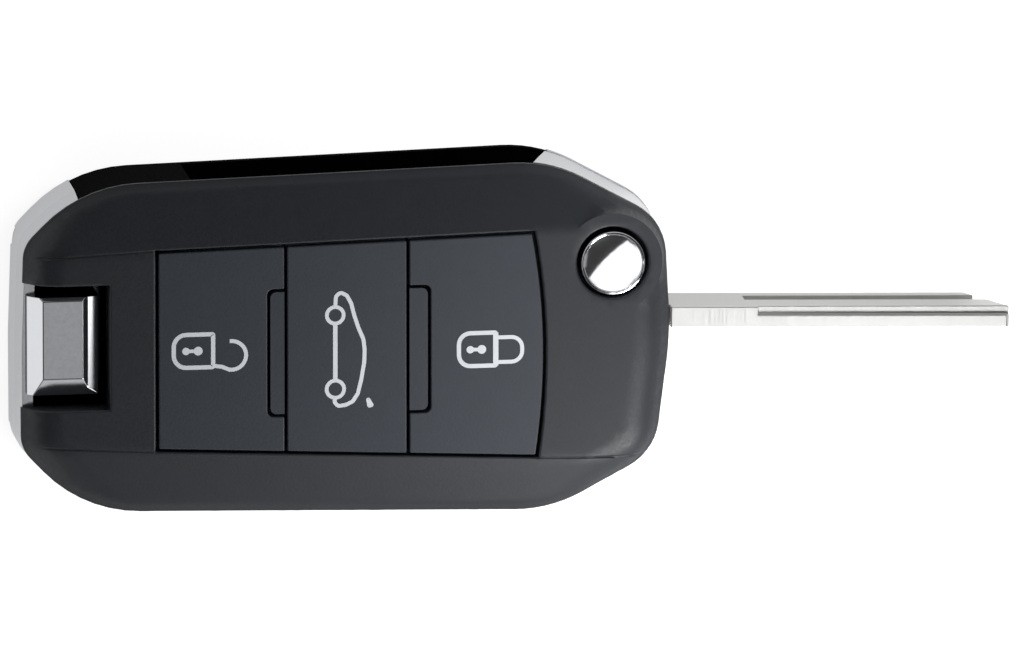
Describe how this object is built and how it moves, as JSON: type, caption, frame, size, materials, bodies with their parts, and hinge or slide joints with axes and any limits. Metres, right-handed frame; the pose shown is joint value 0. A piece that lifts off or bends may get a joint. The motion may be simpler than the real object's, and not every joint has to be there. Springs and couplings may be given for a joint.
{
  "type": "car key fob",
  "caption": "Flip key fob for a car: black housing with a bright side frame, push buttons for unlock, boot and lock, a key ring strap and a blade that folds into the side.",
  "frame": {"origin": "middle of the housing's outline, on the flat back face that the fob lies on", "axes": "+X along the housing to the blade end, +Y to the side that the blade folds into, +Z out of the button face"},
  "size_m": [0.116, 0.0412, 0.0156],
  "materials": {
    "housing_plastic": "fine matt moulded black",
    "button_plastic": "soft matt blue-black",
    "chassis_plastic": "moulded black",
    "chrome_trim": "satin chrome plate",
    "carrier_chrome": "chrome-plated zinc casting",
    "blade_steel": "nickel-plated, milled",
    "spring_steel": "drawn wire",
    "washer_brass": "stamped",
    "board_laminate": "green solder mask",
    "cell_steel": "bright pressed can",
    "tinned_steel": "tinned strip",
    "component_black": "moulded epoxy",
    "component_tan": "ceramic",
    "coil_copper": "enamelled wire"
  },
  "bodies": {
    "case": {"front_cover": "housing_plastic", "rear_cover": "housing_plastic", "side_frame": "chrome_trim", "key_ring_strap": "chrome_trim", "chassis": "chassis_plastic", "button_frame": "button_plastic", "switch_bodies": "tinned_steel", "circuit_board": "board_laminate", "coin_cell": "cell_steel", "battery_clip": "tinned_steel", "battery_contact": "tinned_steel", "controller_chip": "component_black", "resonator_can": "cell_steel", "transponder_coil": "coil_copper", "chip_parts": "component_tan", "flip_spring": "spring_steel", "pivot_washer": "washer_brass"},
    "flip_blade": {"blade_carrier": "carrier_chrome", "key_blade": "blade_steel", "blade_pin": "spring_steel", "release_spring": "spring_steel"},
    "release": {"release_button": "chrome_trim"},
    "unlock": {"unlock_button": "button_plastic", "unlock_plunger": "component_black"},
    "boot": {"boot_button": "button_plastic", "boot_plunger": "component_black"},
    "lock": {"lock_button": "button_plastic", "lock_plunger": "component_black"}
  },
  "joints": [
    {"name": "blade_flip", "type": "hinge", "parent": "case", "child": "flip_blade", "pos_m": [0.03085, 0.00905, 0.00725], "axis": [0, 0, 1], "range_deg": [0, 183], "stiffness_Nm_per_rad": 0.006, "springref_deg": -57.3},
    {"name": "release_press", "type": "slide", "parent": "flip_blade", "child": "release", "axis": [0, 0, -1], "range_m": [0, 0.0015], "stiffness_N_per_m": 600, "springref_m": -0.001, "deforming": ["release_spring"]},
    {"name": "unlock_press", "type": "slide", "parent": "case", "child": "unlock", "axis": [0, 0, -1], "range_m": [0, 0.0005], "stiffness_N_per_m": 800, "springref_m": -0.001},
    {"name": "boot_press", "type": "slide", "parent": "case", "child": "boot", "axis": [0, 0, -1], "range_m": [0, 0.0005], "stiffness_N_per_m": 800, "springref_m": -0.001},
    {"name": "lock_press", "type": "slide", "parent": "case", "child": "lock", "axis": [0, 0, -1], "range_m": [0, 0.0005], "stiffness_N_per_m": 800, "springref_m": -0.001}
  ]
}
